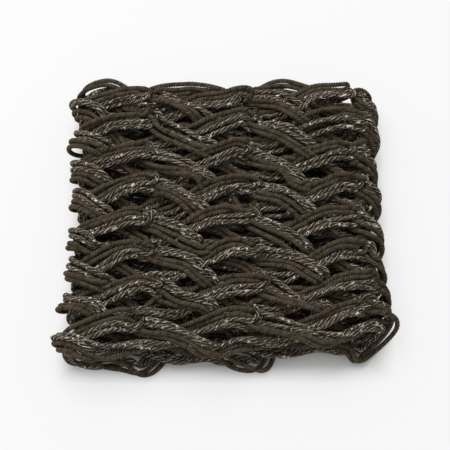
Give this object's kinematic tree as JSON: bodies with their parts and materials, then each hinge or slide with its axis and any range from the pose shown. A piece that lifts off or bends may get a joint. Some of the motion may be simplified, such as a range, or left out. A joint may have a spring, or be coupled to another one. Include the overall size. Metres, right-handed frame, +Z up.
{
  "type": "knitted cowl",
  "caption": "Chunky knitted neck cowl lying flat: a soft tube of interlooped rounds in plain and marled yarn, open at both ends, with a fold at each side.",
  "frame": {"origin": "on the table, under the middle of the flat cowl", "axes": "+X along the rounds towards the right fold, +Y along the tube from the cast-on edge to the bind-off edge, +Z up through both layers"},
  "size_m": [0.3232, 0.3109, 0.0576],
  "materials": {
    "plain_yarn": "matte",
    "marl_yarn": "matte"
  },
  "bodies": {
    "root": {"cast_on_plain": "plain_yarn", "cast_on_marl": "marl_yarn", "round_1_plain": "plain_yarn", "round_1_marl": "marl_yarn", "round_2_plain": "plain_yarn", "round_2_marl": "marl_yarn", "round_3_plain": "plain_yarn", "round_3_marl": "marl_yarn", "round_4_plain": "plain_yarn", "round_4_marl": "marl_yarn", "round_5_plain": "plain_yarn", "round_5_marl": "marl_yarn", "round_6_plain": "plain_yarn", "round_6_marl": "marl_yarn", "bind_off_plain": "plain_yarn", "bind_off_marl": "marl_yarn"}
  },
  "joints": []
}
